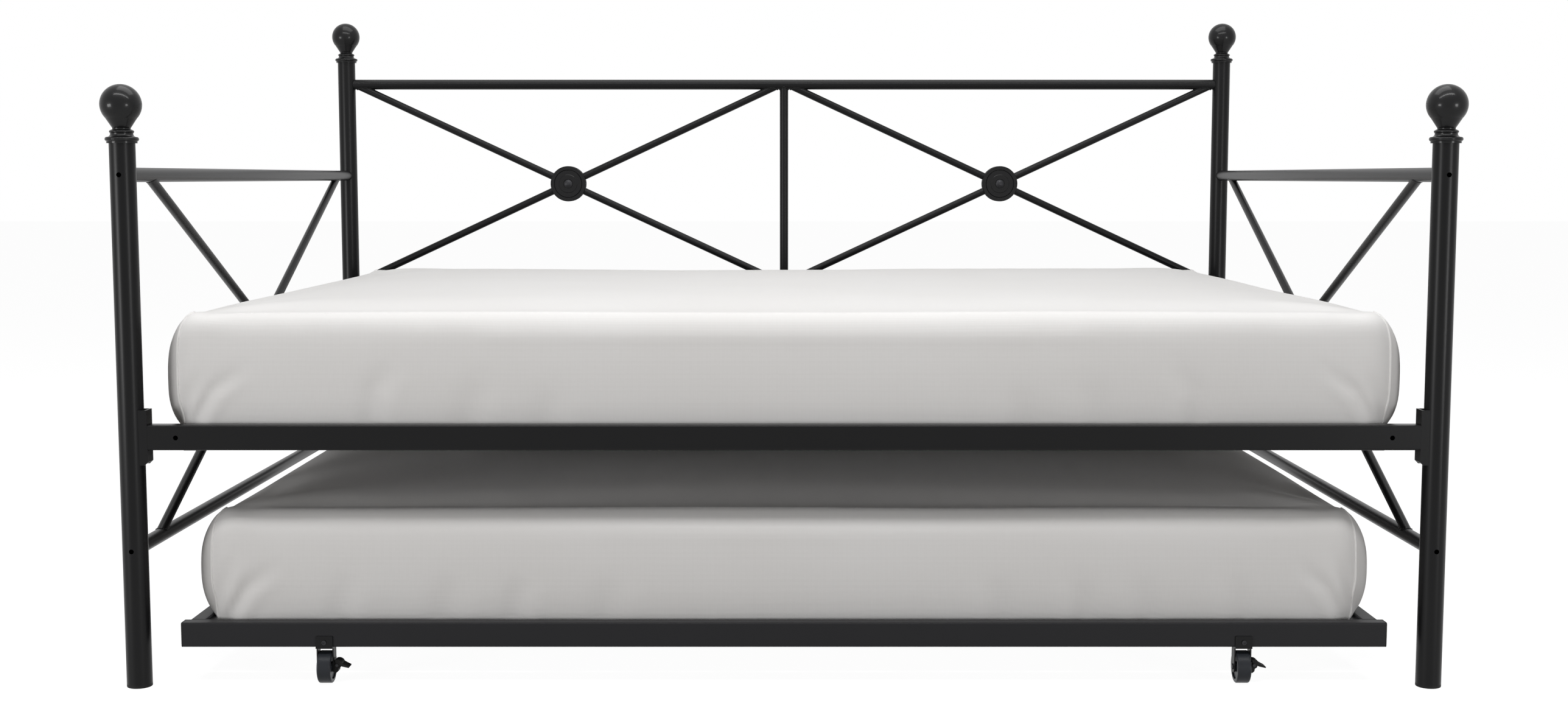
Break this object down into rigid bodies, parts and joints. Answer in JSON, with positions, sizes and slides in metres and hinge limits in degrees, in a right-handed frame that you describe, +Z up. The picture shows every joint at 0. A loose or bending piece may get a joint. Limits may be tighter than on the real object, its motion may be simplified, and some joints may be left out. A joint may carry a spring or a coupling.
{
  "type": "trundle bed",
  "caption": "Metal daybed with ball-topped posts, crossed braces, a slatted deck with mattress and a low slatted trundle with its own mattress that rolls out on casters.",
  "frame": {"origin": "on the floor, at the middle of the four posts", "axes": "+X along the bed to the right seen from the front, +Y from front to back, +Z up"},
  "size_m": [2.0356, 1.5356, 1.1206],
  "materials": {
    "frame_steel": "satin",
    "cast_enamel": "satin",
    "trundle_steel": "satin",
    "caster_steel": "satin",
    "blackened_steel": "satin",
    "black_plastic": "matte",
    "wheel_plastic": "satin",
    "mattress_cover": "matte"
  },
  "bodies": {
    "daybed": {"arm_rail_left": "frame_steel", "arm_rail_right": "frame_steel", "back_bottom_rail": "frame_steel", "back_braces_left": "frame_steel", "back_braces_right": "frame_steel", "back_centre_bar": "frame_steel", "back_top_rail": "frame_steel", "centre_rail_bolts": "blackened_steel", "centre_rail_plugs": "blackened_steel", "deck_centre_rail": "frame_steel", "deck_end_bar_left": "frame_steel", "deck_end_bar_right": "frame_steel", "deck_ledges": "frame_steel", "deck_slat_rivets": "blackened_steel", "deck_slats": "frame_steel", "end_braces_left": "frame_steel", "end_braces_right": "frame_steel", "finial_back_left": "cast_enamel", "finial_back_right": "cast_enamel", "finial_front_left": "cast_enamel", "finial_front_right": "cast_enamel", "lower_end_rail_left": "frame_steel", "lower_end_rail_right": "frame_steel", "mattress": "mattress_cover", "medallion_left": "cast_enamel", "medallion_right": "cast_enamel", "medallion_rivets": "blackened_steel", "post_back_left": "frame_steel", "post_back_right": "frame_steel", "post_front_left": "frame_steel", "post_front_right": "frame_steel", "post_glides": "black_plastic", "rail_brackets": "frame_steel", "rail_end_bolts": "blackened_steel", "rail_end_inserts": "blackened_steel", "side_rail_back": "frame_steel", "side_rail_bolts": "blackened_steel", "side_rail_front": "frame_steel", "side_rail_nuts": "blackened_steel"},
    "trundle": {"brake_blocks": "black_plastic", "brake_pins": "blackened_steel", "caster_axles": "blackened_steel", "caster_brackets": "caster_steel", "caster_screws": "blackened_steel", "trundle_end_caps": "black_plastic", "trundle_end_rail_left": "trundle_steel", "trundle_end_rail_right": "trundle_steel", "trundle_ledges": "trundle_steel", "trundle_mattress": "mattress_cover", "trundle_rail_back": "trundle_steel", "trundle_rail_front": "trundle_steel", "trundle_slat_rivets": "blackened_steel", "trundle_slats": "trundle_steel"},
    "wheel_back_left": {"wheel_back_left": "wheel_plastic"},
    "wheel_back_right": {"wheel_back_right": "wheel_plastic"},
    "wheel_front_left": {"wheel_front_left": "wheel_plastic"},
    "wheel_front_right": {"wheel_front_right": "wheel_plastic"},
    "brake_lever_left": {"brake_lever_left": "black_plastic"},
    "brake_lever_right": {"brake_lever_right": "black_plastic"}
  },
  "joints": [
    {"name": "trundle_slide", "type": "slide", "parent": "daybed", "child": "trundle", "axis": [0, -1, 0], "range_m": [0, 1.05]},
    {"name": "wheel_back_left_spin", "type": "hinge", "parent": "trundle", "child": "wheel_back_left", "pos_m": [-0.7054, 0.2738, 0.025], "axis": [1, 0, 0], "range_deg": [0, 2410]},
    {"name": "wheel_back_right_spin", "type": "hinge", "parent": "trundle", "child": "wheel_back_right", "pos_m": [0.7054, 0.2738, 0.025], "axis": [1, 0, 0], "range_deg": [0, 2410]},
    {"name": "wheel_front_left_spin", "type": "hinge", "parent": "trundle", "child": "wheel_front_left", "pos_m": [-0.7054, -0.7168, 0.025], "axis": [1, 0, 0], "range_deg": [0, 2410]},
    {"name": "wheel_front_right_spin", "type": "hinge", "parent": "trundle", "child": "wheel_front_right", "pos_m": [0.7054, -0.7168, 0.025], "axis": [1, 0, 0], "range_deg": [0, 2410]},
    {"name": "brake_lever_left_hinge", "type": "hinge", "parent": "trundle", "child": "brake_lever_left", "pos_m": [-0.6875, -0.7168, 0.029], "axis": [0, 1, 0], "range_deg": [0, 20]},
    {"name": "brake_lever_right_hinge", "type": "hinge", "parent": "trundle", "child": "brake_lever_right", "pos_m": [0.7233, -0.7168, 0.029], "axis": [0, 1, 0], "range_deg": [0, 20]}
  ],
  "couplings": [
    {"joint": "wheel_back_left_spin", "follows": "trundle_slide", "rad_per_m": 40},
    {"joint": "wheel_back_right_spin", "follows": "trundle_slide", "rad_per_m": 40},
    {"joint": "wheel_front_left_spin", "follows": "trundle_slide", "rad_per_m": 40},
    {"joint": "wheel_front_right_spin", "follows": "trundle_slide", "rad_per_m": 40}
  ]
}
